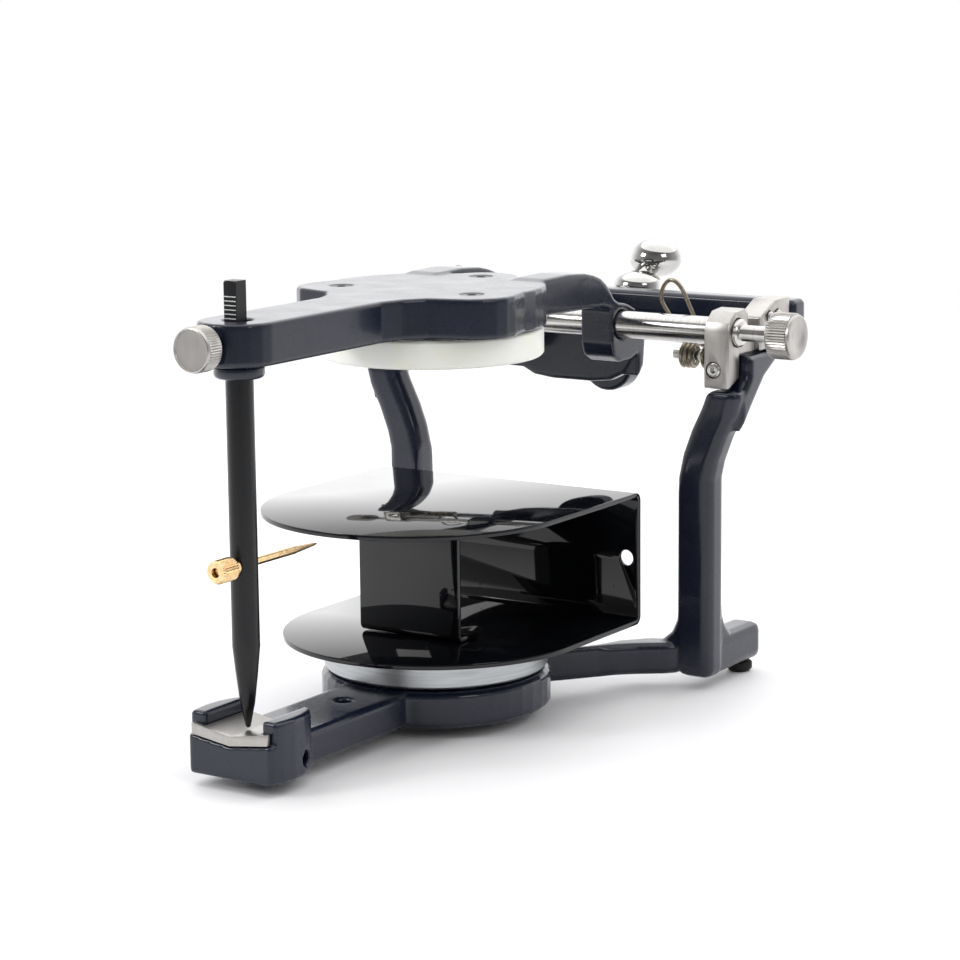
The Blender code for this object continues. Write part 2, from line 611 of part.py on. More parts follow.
def pin_thumbscrew():
    """Knurled head with a dished face; its shank clamps the pin."""
    turned("pin_thumbscrew", [
        (0, 17.0 * MM), (4.3 * MM, 17.2 * MM), (4.9 * MM, 17.3 * MM),
        (5.3 * MM, 16.9 * MM), (5.3 * MM, 12.6 * MM),
        (4.9 * MM, 12.2 * MM), (3.0 * MM, 12.2 * MM), (3.0 * MM, 9.9 * MM), (1.5 * MM, 9.9 * MM),
        (1.5 * MM, 3.9 * MM), (0, 3.9 * MM)
    ], at(0, 0, THUMB_Z / MM), (0, -1, 0), NICKEL, 24)


def indicator():
    """A brass needle through the pin, and the knurled nut that grips it at the front."""
    turned("indicator_needle", [
        (0, 28.0 * MM), (0.35 * MM, 27.0 * MM), (0.95 * MM, 19.0 * MM), (0.95 * MM, -9.6 * MM),
        (0, -9.6 * MM)
    ], at(0, 0, NEEDLE_Z / MM), (0, 1, 0), BRASS, 14)
    turned("indicator_nut", [
        (1.3 * MM, 10.6 * MM), (2.4 * MM, 10.6 * MM), (2.8 * MM, 10.2 * MM),
        (2.8 * MM, 5.2 * MM), (2.0 * MM, 4.8 * MM), (2.0 * MM, 3.6 * MM), (1.3 * MM, 3.6 * MM), (1.3 * MM, 10.6 * MM)
    ], at(0, 0, NEEDLE_Z / MM), (0, -1, 0), BRASS, 18)


def hinge_axle():
    """The rod through both hubs and both blocks; its thinner ends carry the knobs."""
    inner, outer = AXLE_HALF, 70.0 * MM
    profile = [(0, outer), (STUB_R, outer), (STUB_R, inner), (AXLE_R - 0.4 * MM, inner),
               (AXLE_R, inner - 0.4 * MM)]
    profile += [(radius, -height) for radius, height in reversed(profile)]
    turned("hinge_axle", profile, (0, AXLE_Y, AXLE_Z), (1, 0, 0), STEEL, 24)


def axle_knob(name, side):
    """Knurled nut on the end of the axle, closed by a flat face."""
    back = 65.8 * MM
    turned(name, [
        (0, KNOB_FACE_X), (5.5 * MM, KNOB_FACE_X), (6.0 * MM, KNOB_FACE_X - 0.5 * MM),
        (6.0 * MM, back + 0.5 * MM), (5.5 * MM, back), (STUB_R + GAP, back), (STUB_R + GAP, 70.4 * MM), (0, 70.4 * MM)
    ], (0, AXLE_Y, AXLE_Z), (side, 0, 0), NICKEL, 24)


lower_frame()
rubber_feet()
incisal_table()
lower_plate()
occlusal_table()
table_support()
rear_bar()
centric_lock()
upper_frame()
plate_screws()
upper_plate()
pin_collar()
incisal_pin()
pin_thumbscrew()
indicator()
hinge_axle()
for hand, sign in (("right", 1), ("left", -1)):
    condylar_block("condylar_block_" + hand, sign)
    clamp_screw("block_clamp_screw_" + hand, at(sign * 51.2, 132.0, 84.9), (0, -1, 0), 1.9 * MM, 1.7 * MM)
    rear_bracket("rear_bracket_" + hand, sign)
    spring("condylar_spring_" + hand, sign)
    spring_pin("spring_pin_" + hand, sign)
    axle_knob("axle_knob_" + hand, sign)
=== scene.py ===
import json
import math
import bpy
from mathutils import Matrix, Vector


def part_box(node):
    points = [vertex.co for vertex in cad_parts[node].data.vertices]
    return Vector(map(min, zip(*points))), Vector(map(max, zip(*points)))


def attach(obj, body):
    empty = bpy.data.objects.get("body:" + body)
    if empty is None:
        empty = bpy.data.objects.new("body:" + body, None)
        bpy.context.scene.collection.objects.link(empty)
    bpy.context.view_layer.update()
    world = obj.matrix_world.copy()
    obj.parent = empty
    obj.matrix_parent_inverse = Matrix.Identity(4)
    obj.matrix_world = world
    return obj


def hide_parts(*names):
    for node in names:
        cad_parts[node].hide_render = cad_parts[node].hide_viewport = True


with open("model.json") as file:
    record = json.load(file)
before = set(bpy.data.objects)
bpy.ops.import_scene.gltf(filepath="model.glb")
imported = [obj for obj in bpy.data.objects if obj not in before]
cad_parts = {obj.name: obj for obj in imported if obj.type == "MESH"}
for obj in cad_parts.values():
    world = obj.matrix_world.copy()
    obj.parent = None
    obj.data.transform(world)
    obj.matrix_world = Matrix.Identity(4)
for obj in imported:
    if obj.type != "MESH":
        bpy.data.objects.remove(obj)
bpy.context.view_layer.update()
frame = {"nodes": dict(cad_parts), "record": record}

mm = 0.001
scene = bpy.context.scene
nodes = frame["nodes"]
print("frame loaded:", len(nodes), "nodes")


def middle(nodeName):
    low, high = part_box(nodeName)
    return (Vector(low) + Vector(high)) / 2


pinAxis = middle("incisal_pin")
axleAxis = middle("hinge_axle")


# Materials
def colourOf(hexCode):
    parts = [int(hexCode[i:i + 2], 16) / 255 for i in (1, 3, 5)]
    linear = [part / 12.92 if part <= 0.04045 else ((part + 0.055) / 1.055) ** 2.4 for part in parts]
    return (*linear, 1.0)


def addNode(tree, kind, settings=None, values=None, links=None):
    node = tree.nodes.new(kind)
    for name, value in (settings or {}).items():
        setattr(node, name, value)
    for name, value in (values or {}).items():
        node.inputs[name].default_value = value
    for name, source in (links or {}).items():
        tree.links.new(source, node.inputs[name])
    return node


def startMaterial(name, values):
    made = bpy.data.materials.new(name)
    made.use_nodes = True
    shader = made.node_tree.nodes["Principled BSDF"]
    for socket, value in values.items():
        shader.inputs[socket].default_value = value
    return made, made.node_tree, shader


def objectCoords(tree, scale=(1, 1, 1)):
    coords = addNode(tree, "ShaderNodeTexCoord")
    mapping = addNode(tree, "ShaderNodeMapping", values={"Scale": scale},
                      links={"Vector": coords.outputs["Object"]})
    return mapping.outputs["Vector"]


mottleSpread = (0.32, 0.68)  # the part of the noise that turns from the low value to the high one


def mottle(tree, vector, scale, low, high, detail=4.0):
    # noise stretched between two values or two colours
    noise = addNode(tree, "ShaderNodeTexNoise", values={"Scale": scale, "Detail": detail},
                    links={"Vector": vector})
    ramp = addNode(tree, "ShaderNodeValToRGB", links={"Fac": noise.outputs["Fac"]})
    for element, spot, value in zip(ramp.color_ramp.elements, mottleSpread, (low, high)):
        element.position = spot
        element.color = value if isinstance(value, tuple) else (value, value, value, 1.0)
    return ramp.outputs["Color"]


def addBump(tree, shader, height, strength, distance):
    bump = addNode(tree, "ShaderNodeBump", values={"Strength": strength, "Distance": distance},
                   links={"Height": height})
    tree.links.new(bump.outputs["Normal"], shader.inputs["Normal"])
    return bump


def patchy(tree, shader, look, colourVector, glossVector):
    # colour and gloss that vary a little from place to place
    colours = mottle(tree, colourVector, look["patches"], colourOf(look["dark"]), colourOf(look["light"]))
    tree.links.new(colours, shader.inputs["Base Color"])
    gloss = mottle(tree, glossVector, look["glossPatches"], *look["gloss"])
    tree.links.new(gloss, shader.inputs["Roughness"])


def grained(tree, shader, look, vector):
    grain = addNode(tree, "ShaderNodeTexNoise", values={"Scale": look["grain"], "Detail": look["detail"]},
                    links={"Vector": vector})
    return addBump(tree, shader, grain.outputs["Fac"], look["strength"], look["relief"])


# In each look, patches and grain are counted to the metre, and relief is in metres
enamelLook = {"dark": "#121828", "light": "#161d2e", "patches": 40, "gloss": (0.24, 0.30),
              "glossPatches": 120, "grain": 520, "detail": 1.0, "strength": 0.10, "relief": 0.00004}


def stoveEnamel():
    # Sprayed and stoved gloss enamel over cast metal: blue-black, a clear even gloss, a faint orange peel
    # about 2 mm from hump to hump
    made, tree, shader = startMaterial("navy enamel", {
        "IOR": 1.42, "Coat Weight": 0.30, "Coat Roughness": 0.08, "Coat IOR": 1.5})
    vector = objectCoords(tree)
    patchy(tree, shader, enamelLook, vector, vector)
    bump = grained(tree, shader, enamelLook, vector)
    tree.links.new(bump.outputs["Normal"], shader.inputs["Coat Normal"])
    return made


metalMarks = {"detail": 6.0, "clouds": 90, "cloudDetail": 2.0, "relief": 0.00003}


def metal(name, light, dark, gloss, marksPerMetre, stretch, strength=0.06):
    # plated or turned metal: fine directional marks in colour and height, and clouds in its gloss.
    # The marks are drawn about 1 mm apart, coarser than real tool marks, so that they show
    made, tree, shader = startMaterial(name, {"Metallic": 1.0})
    vector = objectCoords(tree, stretch)
    cloudy = objectCoords(tree)
    marks = mottle(tree, vector, marksPerMetre, 0.0, 1.0, metalMarks["detail"])
    base = addNode(tree, "ShaderNodeMix", {"data_type": "RGBA"}, {6: colourOf(dark), 7: colourOf(light)},
                   {0: marks})
    tree.links.new(base.outputs[2], shader.inputs["Base Color"])
    clouds = mottle(tree, cloudy, metalMarks["clouds"], 0.0, 1.0, metalMarks["cloudDetail"])
    low, high = gloss
    rough = addNode(tree, "ShaderNodeMapRange", values={"To Min": low, "To Max": high},
                    links={"Value": clouds})
    tree.links.new(rough.outputs["Result"], shader.inputs["Roughness"])
    addBump(tree, shader, marks, strength, metalMarks["relief"])
    return made


blackedLook = {"dark": "#0b0c0e", "light": "#131417", "patches": 900, "gloss": (0.26, 0.34),
               "glossPatches": 300, "grain": 1500, "detail": 3.0, "strength": 0.2, "relief": 0.00003,
               "drawn": (1, 1, 0.04)}


def blackedSteel():
    # Chemically blacked bar: almost black, with drawn lines along its length
    made, tree, shader = startMaterial("blacked steel", {"IOR": 1.5, "Specular IOR Level": 0.35})
    vector = objectCoords(tree, blackedLook["drawn"])
    patchy(tree, shader, blackedLook, vector, objectCoords(tree))
    grained(tree, shader, blackedLook, vector)
    return made


lacquerLook = {"dark": "#08090c", "light": "#0e1014", "patches": 60, "gloss": (0.03, 0.05),
               "glossPatches": 120, "waves": 55, "nibs": 150, "nibReach": 0.07, "nibTall": 0.5,
               "strength": 0.35, "relief": 0.00009}


def mirrorLacquer():
    # Dipped black lacquer on sheet: mirror gloss with slow waves, 18 mm long, and a few dust nibs
    made, tree, shader = startMaterial("gloss black lacquer", {
        "IOR": 1.45, "Coat Weight": 0.05, "Coat Roughness": 0.02})
    vector = objectCoords(tree)
    patchy(tree, shader, lacquerLook, vector, vector)
    waves = addNode(tree, "ShaderNodeTexNoise", values={"Scale": lacquerLook["waves"], "Detail": 1.0},
                    links={"Vector": vector})
    cells = addNode(tree, "ShaderNodeTexVoronoi", {"feature": "F1"}, {"Scale": lacquerLook["nibs"]},
                    {"Vector": vector})
    nibs = addNode(tree, "ShaderNodeMapRange", {"interpolation_type": "SMOOTHSTEP"},
                   {"From Min": 0.0, "From Max": lacquerLook["nibReach"],
                    "To Min": lacquerLook["nibTall"], "To Max": 0.0},
                   {"Value": cells.outputs["Distance"]})
    both = addNode(tree, "ShaderNodeMath", {"operation": "ADD"},
                   links={0: waves.outputs["Fac"], 1: nibs.outputs["Result"]})
    bump = addBump(tree, shader, both.outputs["Value"], lacquerLook["strength"], lacquerLook["relief"])
    tree.links.new(bump.outputs["Normal"], shader.inputs["Coat Normal"])
    return made


ivoryLook = {"dark": "#f7f8ea", "light": "#fcfdf3", "patches": 90, "gloss": (0.32, 0.44), "glossPatches": 350,
             "grain": 1400, "detail": 2.0, "strength": 0.12, "relief": 0.00005}


def mouldedIvory():
    # Moulded acetal, undyed: milky, with a soft sheen and a very fine even grain
    made, tree, shader = startMaterial("ivory plastic", {
        "IOR": 1.49, "Subsurface Weight": 0.35, "Subsurface Scale": 0.004,
        "Subsurface Radius": (1.0, 0.9, 0.6)})
    vector = objectCoords(tree)
    patchy(tree, shader, ivoryLook, vector, vector)
    grained(tree, shader, ivoryLook, vector)
    return made


rubberLook = {"dark": "#141414", "light": "#202020", "patches": 300, "gloss": (0.6, 0.8), "glossPatches": 500,
              "grain": 2500, "detail": 2.0, "strength": 0.3, "relief": 0.00006}


def mouldedRubber():
    # Moulded nitrile rubber: dull black with a dusty bloom
    made, tree, shader = startMaterial("black rubber", {"IOR": 1.52, "Specular IOR Level": 0.3})
    vector = objectCoords(tree)
    patchy(tree, shader, rubberLook, vector, vector)
    grained(tree, shader, rubberLook, vector)
    return made


paintLook = {"dark": "#d8dadb", "light": "#f4f5f5", "patches": 2500, "gloss": (0.45, 0.6),
             "glossPatches": 900}


def whitePaint():
    # Paint wiped into engraved lines: chalky white, a little thin in places
    made, tree, shader = startMaterial("white paint", {"IOR": 1.5})
    patchy(tree, shader, paintLook, objectCoords(tree), objectCoords(tree))
    return made


# Metals: light and dark colour, gloss, marks to the metre, stretch of the marks, strength of their relief
finishes = {
    "navy_enamel": stoveEnamel(),
    # milled, blasted and nickel plated: a soft warm grey that mirrors nothing clearly
    "satin_nickel": metal("satin nickel", "#b6b3af", "#aeaba7", (0.33, 0.38), 1300, (1, 1, 0.15), 0.02),
    # ground bar: streaks of light along its length, with turning lines round it
    "polished_steel": metal("turned steel", "#cfcdca", "#b9b6b3", (0.15, 0.22), 1600, (1, 0.06, 0.06)),
    # bright chrome: mirrors the room, with hardly a mark
    "chrome_plate": metal("chrome plate", "#c4c3c0", "#bbbab7", (0.07, 0.11), 300, (1, 1, 1), 0.03),
    "blacked_steel": blackedSteel(),
    "gloss_black_lacquer": mirrorLacquer(),
    "ivory_plastic": mouldedIvory(),
    # faced on a lathe: pale, cool and satin, with fine rings
    "turned_aluminium": metal("turned aluminium", "#c3c6c8", "#afb2b4", (0.34, 0.44), 1500, (0.05, 0.05, 1)),
    # bare turned brass: a light warm yellow with sharp glints
    "brass": metal("turned brass", "#f8dcb0", "#e6bd86", (0.18, 0.30), 900, (1, 1, 1)),
    "black_rubber": mouldedRubber(),
    # drawn and tempered wire: brown-grey with a dull shine
    "spring_wire": metal("spring wire", "#9c9282", "#7d7465", (0.22, 0.34), 1200, (1, 1, 1)),
}
recordSlots = {entry["node"]: entry["material_slot"] for entry in frame["record"]["subparts"]}
for nodeName, node in nodes.items():
    node.data.materials.clear()
    node.data.materials.append(finishes[recordSlots[nodeName]])
print("materials:", len(finishes))


# Tools of the bench
bench = {"weld": 0.005 * mm, "merge": 0.002 * mm, "smoothAngle": math.radians(32), "boreSides": 48,
         "onBarrel": 0.02 * mm, "sameAngle": 0.0001}


def deselectAll():
    if bpy.context.mode != "OBJECT":
        bpy.ops.object.mode_set(mode="OBJECT")
    bpy.ops.object.select_all(action="DESELECT")


def makeActive(piece):
    deselectAll()
    piece.select_set(True)
    bpy.context.view_layer.objects.active = piece


def applyModifier(piece, kind, settings):
    makeActive(piece)
    modifier = piece.modifiers.new(kind.lower(), kind)
    for name, value in settings.items():
        setattr(modifier, name, value)
    bpy.ops.object.modifier_apply(modifier=modifier.name)


def roundEdges(piece, width, segments=2, angle=35):
    applyModifier(piece, "BEVEL", {"width": width, "segments": segments, "limit_method": "ANGLE",
                                   "angle_limit": math.radians(angle), "use_clamp_overlap": True})


def settle(piece):
    # puts a piece's place into its mesh and smooths its faces
    makeActive(piece)
    bpy.ops.object.transform_apply(location=True, rotation=True, scale=True)
    bpy.ops.object.shade_smooth_by_angle(angle=bench["smoothAngle"])


def pointOut(piece, merge=bench["merge"]):
    makeActive(piece)
    bpy.ops.object.mode_set(mode="EDIT")
    bpy.ops.mesh.select_all(action="SELECT")
    bpy.ops.mesh.remove_doubles(threshold=merge)
    bpy.ops.mesh.normals_make_consistent(inside=False)
    bpy.ops.object.mode_set(mode="OBJECT")


def standIn(piece, nodeName, body):
    # the piece takes the node's place: its finish, its slot and its body
    slotName = recordSlots[nodeName]
    piece.data.materials.clear()
    piece.data.materials.append(finishes[slotName])
    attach(piece, body)
    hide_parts(nodeName)


def bodyOf(nodeName):
    return next(body for body, held in frame["record"]["behaviour"]["bodies"].items() if nodeName in held)


def steppedRings(start, way, steps, side=0.0):
    # rings of a turned piece. Steps are in millimetres: how far from the start, and the radius there, or
    # how far in from the side where that is given
    sign = -1 if side else 1
    return [(start + way * away * mm, side + sign * reach * mm) for away, reach in steps]


def lathe(name, rings, centre, axis, sides=64, edge=0.0, segments=2):
    # turned stock: a disc is extruded from ring to ring and sized to each radius. Rings are (height, radius)
    deselectAll()
    turn = Vector((0, 0, 1)).rotation_difference(Vector(axis)).to_matrix().to_4x4()
    height, radius = rings[0]
    bpy.ops.mesh.primitive_circle_add(vertices=sides, radius=radius, fill_type="NGON",
                                      location=(0, 0, height))
    piece = bpy.context.object
    piece.name = name
    bpy.ops.object.transform_apply(location=True, rotation=True, scale=True)
    bpy.ops.object.mode_set(mode="EDIT")
    for nextHeight, nextRadius in rings[1:]:
        bpy.ops.mesh.extrude_region_move(TRANSFORM_OT_translate={"value": (0, 0, nextHeight - height)})
        factor = nextRadius / radius
        bpy.ops.transform.resize(value=(factor, factor, 1), center_override=(0, 0, nextHeight))
        height, radius = nextHeight, nextRadius
    bpy.ops.object.mode_set(mode="OBJECT")
    pointOut(piece)
    if edge:
        roundEdges(piece, edge, segments)
    piece.matrix_world = Matrix.Translation(centre) @ turn
    settle(piece)
    return piece


def latheBore(piece, radius, centre, axis, length):
    # drills a bore through a turned piece
    deselectAll()
    bpy.ops.mesh.primitive_cylinder_add(vertices=bench["boreSides"], radius=radius, depth=length,
                                        location=centre)
    drill = bpy.context.object
    drill.rotation_mode = "QUATERNION"
    drill.rotation_quaternion = Vector((0, 0, 1)).rotation_difference(Vector(axis))
    bpy.context.view_layer.update()
    applyModifier(piece, "BOOLEAN", {"operation": "DIFFERENCE", "object": drill, "solver": "EXACT"})
    bpy.data.objects.remove(drill, do_unlink=True)


def knurl(piece, centre, axis, low, high, radius, depth):
    # presses in every second column of points on a barrel, which leaves straight knurls
    axis = Vector(axis)
    across = axis.orthogonal().normalized()
    other = axis.cross(across)
    mesh = piece.data
    onBarrel = []
    for vertex in mesh.vertices:
        offset = vertex.co - Vector(centre)
        height = offset.dot(axis)
        reach = (offset - axis * height).length
        if low <= height <= high and abs(reach - radius) < bench["onBarrel"]:
            angle = math.atan2(offset.dot(other), offset.dot(across))
            onBarrel.append((angle, vertex, offset - axis * height))
    first = onBarrel[0][0]
    turns = [abs(angle - first) for angle, vertex, spoke in onBarrel]
    turnStep = min(turn for turn in turns if turn > bench["sameAngle"])
    for angle, vertex, spoke in onBarrel:
        if round((angle - first) / turnStep) % 2:
            vertex.co -= spoke.normalized() * depth
    mesh.update()


# Castings: name, size of the voxels and rounds of smoothing, which together set how soft the edges are
mostFaces = 150000  # on any one casting
castings = {
    "upper_frame": ("upperFrameCasting", 0.40 * mm, 4),
    "lower_frame": ("lowerFrameCasting", 0.48 * mm, 3),
    "rear_bar": ("rearBarCasting", 0.42 * mm, 4),
}


def castFrom(nodeName, name, voxel, rounds):
    # a casting takes its node's form, with every edge softened as enamel and sand casting leave it
    piece = bpy.data.objects.new(name, nodes[nodeName].data.copy())
    scene.collection.objects.link(piece)
    applyModifier(piece, "WELD", {"merge_threshold": bench["weld"]})
    applyModifier(piece, "REMESH", {"mode": "VOXEL", "voxel_size": voxel, "adaptivity": 0.0})
    applyModifier(piece, "SMOOTH", {"factor": 0.5, "iterations": rounds})
    faces = 2 * len(piece.data.polygons)
    applyModifier(piece, "DECIMATE", {"ratio": min(1.0, mostFaces / faces)})
    makeActive(piece)
    bpy.ops.object.shade_smooth()
    standIn(piece, nodeName, bodyOf(nodeName))


for nodeName, casting in castings.items():
    castFrom(nodeName, *casting)
print("castings made")


collarShape = {"foot": ((0, 0.9), (0.35, 0.3), (0.9, 0)), "top": ((0.5, 0), (0, 0.4)), "sides": 72,
               "edge": 0.12 * mm, "bore": 3.5 * mm, "boreLong": 20 * mm}


def makeCollar():
    # black ring under the upper arm, its lower edge well rounded
    low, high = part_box("pin_collar")
    radius, tall = (high[0] - low[0]) / 2, high[2] - low[2]
    rings = steppedRings(0, 1, collarShape["foot"], radius)
    rings += steppedRings(tall, -1, collarShape["top"], radius)
    collar = lathe("pinCollar", rings, (pinAxis.x, pinAxis.y, low[2]), (0, 0, 1), collarShape["sides"],
                   collarShape["edge"])
    latheBore(collar, collarShape["bore"], middle("pin_collar"), (0, 0, 1), collarShape["boreLong"])
    settle(collar)
    standIn(collar, "pin_collar", "upper_member")


makeCollar()


# Mounting plates, each with a magnet disc in its bore
plateShape = {"foot": ((0, 0.7), (0.7, 0)), "top": ((0.7, 0), (0, 0.7)), "sides": 144, "edge": 0.25 * mm,
              "bore": 9.3 * mm, "boreLong": 30 * mm}
magnetShape = {"foot": ((0, 0.5), (0.5, 0)), "top": ((0.5, 0), (0, 0.5)), "sides": 64, "edge": 0.1 * mm,
               "bore": 1.6 * mm, "boreLong": 3 * mm}


def makeDisc(nodeName, name, body, shape, boreCentre, segments=2):
    low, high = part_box(nodeName)
    radius, tall = (high[0] - low[0]) / 2, high[2] - low[2]
    rings = steppedRings(0, 1, shape["foot"], radius) + steppedRings(tall, -1, shape["top"], radius)
    centre = (0, middle(nodeName).y, low[2])
    disc = lathe(name, rings, centre, (0, 0, 1), shape["sides"], shape["edge"], segments)
    latheBore(disc, shape["bore"], boreCentre, (0, 0, 1), shape["boreLong"])
    settle(disc)
    standIn(disc, nodeName, body)


for place in ("upper", "lower"):
    makeDisc(place + "_mounting_plate", place + "MountingPlate", place + "_member", plateShape,
             middle(place + "_mounting_plate"), 3)
for place in ("upper", "lower"):
    magnet = place + "_magnet"
    makeDisc(magnet, place + "Magnet", place + "_member", magnetShape,
             (0, middle(magnet).y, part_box(magnet)[0][2]))
print("mounting plates made")


# Occlusal plane table
tableSheet = {"thick": 1.3 * mm, "bend": 1.6 * mm, "supportBend": 1.2 * mm, "setback": 8.1 * mm,
              "holeAcross": 35.6 * mm, "holeHeight": 37.4 * mm, "holeRadius": 2.0 * mm, "drillLong": 8 * mm,
              "edge": 0.22 * mm, "edgeAngle": 50, "sides": 160, "sameLine": 0.01 * mm}


def halfDisc(radius, centreY, height):
    bpy.ops.mesh.primitive_circle_add(vertices=tableSheet["sides"], radius=radius, fill_type="NGON",
                                      location=(0, centreY, height))
    bpy.ops.mesh.bisect(plane_co=(0, centreY, height), plane_no=(0, 1, 0), clear_outer=True)


def bendTo(steps):
    for move in steps:
        bpy.ops.mesh.extrude_region_move(TRANSFORM_OT_translate={"value": move})


def quarterBend(radius, startAngle, endAngle, parts=5):
    # small moves in Y and Z that turn the sheet round a bend
    angles = [math.radians(startAngle + (endAngle - startAngle) * i / parts) for i in range(parts + 1)]
    points = [(radius * math.cos(a), radius * math.sin(a)) for a in angles]
    return [(0, b[0] - a[0], b[1] - a[1]) for a, b in zip(points, points[1:])]


def selectPoints(piece, test):
    bpy.ops.object.mode_set(mode="OBJECT")
    for item in list(piece.data.polygons) + list(piece.data.edges):
        item.select = False
    for vertex in piece.data.vertices:
        vertex.select = test(vertex.co)
    for edgeItem in piece.data.edges:
        edgeItem.select = all(piece.data.vertices[i].select for i in edgeItem.vertices)
    bpy.ops.object.mode_set(mode="EDIT")


def makeTable():
    low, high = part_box("occlusal_table")
    half = high[0]
    topZ, bottomZ = high[2] - tableSheet["thick"] / 2, low[2] + tableSheet["thick"] / 2
    backY = high[1] - tableSheet["thick"] / 2
    topCentre = low[1] + half
    lowCentre = topCentre + tableSheet["setback"]
    bend = tableSheet["bend"]
    deselectAll()
    bpy.ops.mesh.primitive_plane_add(size=half * 2, location=(0, 0, 0))
    table = bpy.context.object
    table.name = "occlusalTable"
    bpy.ops.object.mode_set(mode="EDIT")
    bpy.ops.mesh.select_mode(type="VERT")
    bpy.ops.mesh.select_all(action="SELECT")
    bpy.ops.mesh.delete(type="VERT")  # only the object is wanted: the sheet is built in it
    halfDisc(half, topCentre, topZ)
    selectPoints(table, lambda point: abs(point.y - topCentre) < tableSheet["sameLine"])
    bendTo([(0, backY - bend - topCentre, 0)])
    bendTo(quarterBend(bend, 90, 0))
    bendTo([(0, 0, bottomZ - topZ + 2 * bend)])
    bendTo(quarterBend(bend, 0, -90))
    bendTo([(0, lowCentre - (backY - bend), 0)])
    bpy.ops.mesh.select_all(action="DESELECT")
    halfDisc(half, lowCentre, bottomZ)
    bpy.ops.object.mode_set(mode="OBJECT")
    pointOut(table, tableSheet["sameLine"])
    thick = tableSheet["thick"]
    applyModifier(table, "SOLIDIFY", {"thickness": thick, "offset": 0.0, "use_even_offset": True})
    for side in (-1, 1):
        spot = (side * tableSheet["holeAcross"], backY, tableSheet["holeHeight"])
        latheBore(table, tableSheet["holeRadius"], spot, (0, 1, 0), tableSheet["drillLong"])
    roundEdges(table, tableSheet["edge"], angle=tableSheet["edgeAngle"])
    settle(table)
    standIn(table, "occlusal_table", "plane_table")


def makeSupport():
    # one strip bent twice, so that it has a foot and a head flange
    low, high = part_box("occlusal_table_support")
    thick = tableSheet["thick"]
    bend = tableSheet["supportBend"]
    wallY = low[1] + thick / 2
    bottomZ, topZ = low[2] + thick / 2, high[2] - thick / 2
    reach = high[1] - wallY - bend
    deselectAll()
    bpy.ops.mesh.primitive_plane_add(size=high[0] - low[0], location=(0, 0, 0))
    wall = bpy.context.object
    wall.name = "tableSupport"
    halfWidth = (high[0] - low[0]) / 2
    bpy.ops.object.mode_set(mode="EDIT")
    bpy.ops.transform.resize(value=(1, reach / (2 * halfWidth), 1), center_override=(0, 0, 0))
    bpy.ops.transform.translate(value=(0, high[1] - reach / 2, bottomZ))
    front = high[1] - reach
    selectPoints(wall, lambda point: abs(point.y - front) < tableSheet["sameLine"])
    bendTo([(0, -b[1], b[2]) for b in quarterBend(bend, -90, 0)])
    bendTo([(0, 0, topZ - bottomZ - 2 * bend)])
    bendTo([(0, -b[1], b[2]) for b in quarterBend(bend, 0, 90)])
    bendTo([(0, reach, 0)])
    bpy.ops.object.mode_set(mode="OBJECT")
    pointOut(wall, tableSheet["sameLine"])
    applyModifier(wall, "SOLIDIFY", {"thickness": thick, "offset": 0.0, "use_even_offset": True})
    roundEdges(wall, tableSheet["edge"], angle=tableSheet["edgeAngle"])
    settle(wall)
    standIn(wall, "occlusal_table_support", "plane_table")


makeTable()
makeSupport()
print("table made")


# Hinge end
axleShape = {"shoulder": 57.0 * mm, "thin": 2.1 * mm, "edge": 0.08 * mm,
             "groove": ((0, 0.5), (0.5, 0), (4.2, 0), (4.5, 0.25), (5.2, 0.25), (5.5, 0))}


def makeAxle():
    low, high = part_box("hinge_axle")
    end, thin, shoulder = high[0], axleShape["thin"], axleShape["shoulder"]
    half = [(shoulder, thin)] + steppedRings(shoulder, -1, axleShape["groove"], (high[2] - low[2]) / 2)
    rings = [(-end, thin)] + [(-height, radius) for height, radius in half]
    rings += half[::-1] + [(end, thin)]
    axle = lathe("hingeAxle", rings, axleAxis, (1, 0, 0), 64, axleShape["edge"])
    standIn(axle, "hinge_axle", "upper_member")


knobShape = {"teeth": 52, "depth": 0.28 * mm, "knurlFrom": 0.8 * mm, "knurlTo": 0.97 * mm,
             "inner": ((0, 1.6), (0.02, 0.7), (0.5, 0.05), (0.9, 0), (2.6, 0)),
             "outer": ((2.4, 0), (1.0, 0), (0.95, 0.35), (0.35, 0.35), (0, 0.75), (0.02, 2.6), (0.35, 3.3)),
             "dimple": ((0.4, 0.9),), "bore": 2.3 * mm, "boreLong": 5 * mm}


def makeKnob(nodeName, name, side, body):
    low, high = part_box(nodeName)
    radius = (high[2] - low[2]) / 2
    inside, outside = sorted((abs(low[0]), abs(high[0])))
    rings = steppedRings(inside, 1, knobShape["inner"], radius)
    rings += steppedRings(outside, -1, knobShape["outer"], radius)
    rings += steppedRings(outside, -1, knobShape["dimple"])
    centre, axis = (0, axleAxis.y, axleAxis.z), (side, 0, 0)
    knob = lathe(name, rings, centre, axis, knobShape["teeth"] * 2)
    knurl(knob, centre, axis, inside + knobShape["knurlFrom"], outside - knobShape["knurlTo"], radius,
          knobShape["depth"])
    boreSpot = (side * inside, axleAxis.y, axleAxis.z)
    latheBore(knob, knobShape["bore"], boreSpot, (1, 0, 0), knobShape["boreLong"])
    settle(knob)
    standIn(knob, nodeName, body)


makeAxle()
makeKnob("axle_knob_right", "axleKnobRight", 1, "knob_right")
makeKnob("axle_knob_left", "axleKnobLeft", -1, "knob_left")


